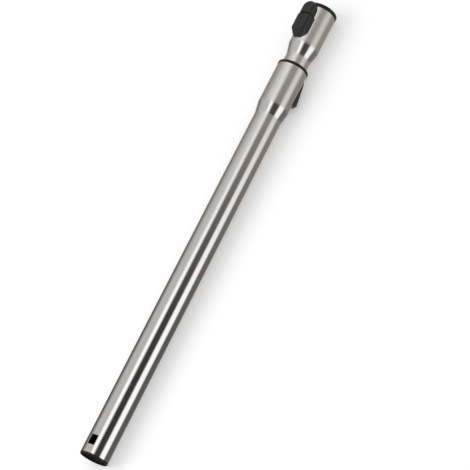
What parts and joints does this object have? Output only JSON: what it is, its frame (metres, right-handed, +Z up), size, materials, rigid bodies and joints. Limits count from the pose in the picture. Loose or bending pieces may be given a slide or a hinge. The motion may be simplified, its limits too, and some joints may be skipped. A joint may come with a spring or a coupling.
{
  "type": "telescopic vacuum cleaner wand",
  "caption": "telescopic vacuum wand in brushed steel, pushed together: belled outer tube with thumb slide and catch window, inner tube with handle socket and latch",
  "frame": {"origin": "on the floor, under the middle of the overall box", "axes": "X along the wand, +X towards the handle socket; Z up, as it lies on the floor"},
  "size_m": [0.6384, 0.0414, 0.0502],
  "materials": {
    "outer_steel": "brushed along the tube",
    "inner_steel": "brushed along the tube",
    "black_plastic": "fine grained",
    "rim_plastic": "smooth",
    "latch_plastic": "grained",
    "grey_plastic": "smooth, low friction",
    "rubber": "matte",
    "pin_steel": "ground",
    "spring_steel": "drawn wire"
  },
  "bodies": {
    "outer": {"outer_tube": "outer_steel", "end_ring": "black_plastic", "guide_sleeve": "grey_plastic", "collar_ring": "rim_plastic", "wiper_seal": "rubber", "release_spring_left": "spring_steel", "release_spring_right": "spring_steel"},
    "slide": {"release_button": "latch_plastic"},
    "roller": {"locking_roller": "pin_steel"},
    "inner": {"inner_tube": "inner_steel", "bush_half_left": "grey_plastic", "bush_half_right": "grey_plastic", "inner_end_seal": "rubber", "socket_liner": "rim_plastic", "latch_base": "black_plastic", "latch_cover": "latch_plastic", "latch_pin": "pin_steel", "latch_spring": "spring_steel"},
    "latch": {"latch_button": "latch_plastic"}
  },
  "joints": [
    {"name": "telescope", "type": "slide", "parent": "outer", "child": "inner", "axis": [1, 0, 0.0053], "range_m": [0, 0.36]},
    {"name": "release_slide", "type": "slide", "parent": "outer", "child": "slide", "axis": [-1, 0, -0.0053], "range_m": [0, 0.005], "stiffness_N_per_m": 1200, "springref_m": -0.003, "deforming": ["release_spring_left", "release_spring_right"]},
    {"name": "roller_lift", "type": "slide", "parent": "outer", "child": "roller", "axis": [0.0037, -0.7284, -0.6852], "range_m": [0, 0.0019]},
    {"name": "latch_rock", "type": "hinge", "parent": "inner", "child": "latch", "pos_m": [0.29918, 0.0068, 0.04339], "axis": [0.0015, 0.9576, -0.2882], "range_deg": [0, 7], "stiffness_Nm_per_rad": 0.6, "springref_deg": -6.88, "deforming": ["latch_spring"]}
  ],
  "couplings": [
    {"joint": "roller_lift", "follows": "release_slide", "ratio": 0.38}
  ]
}
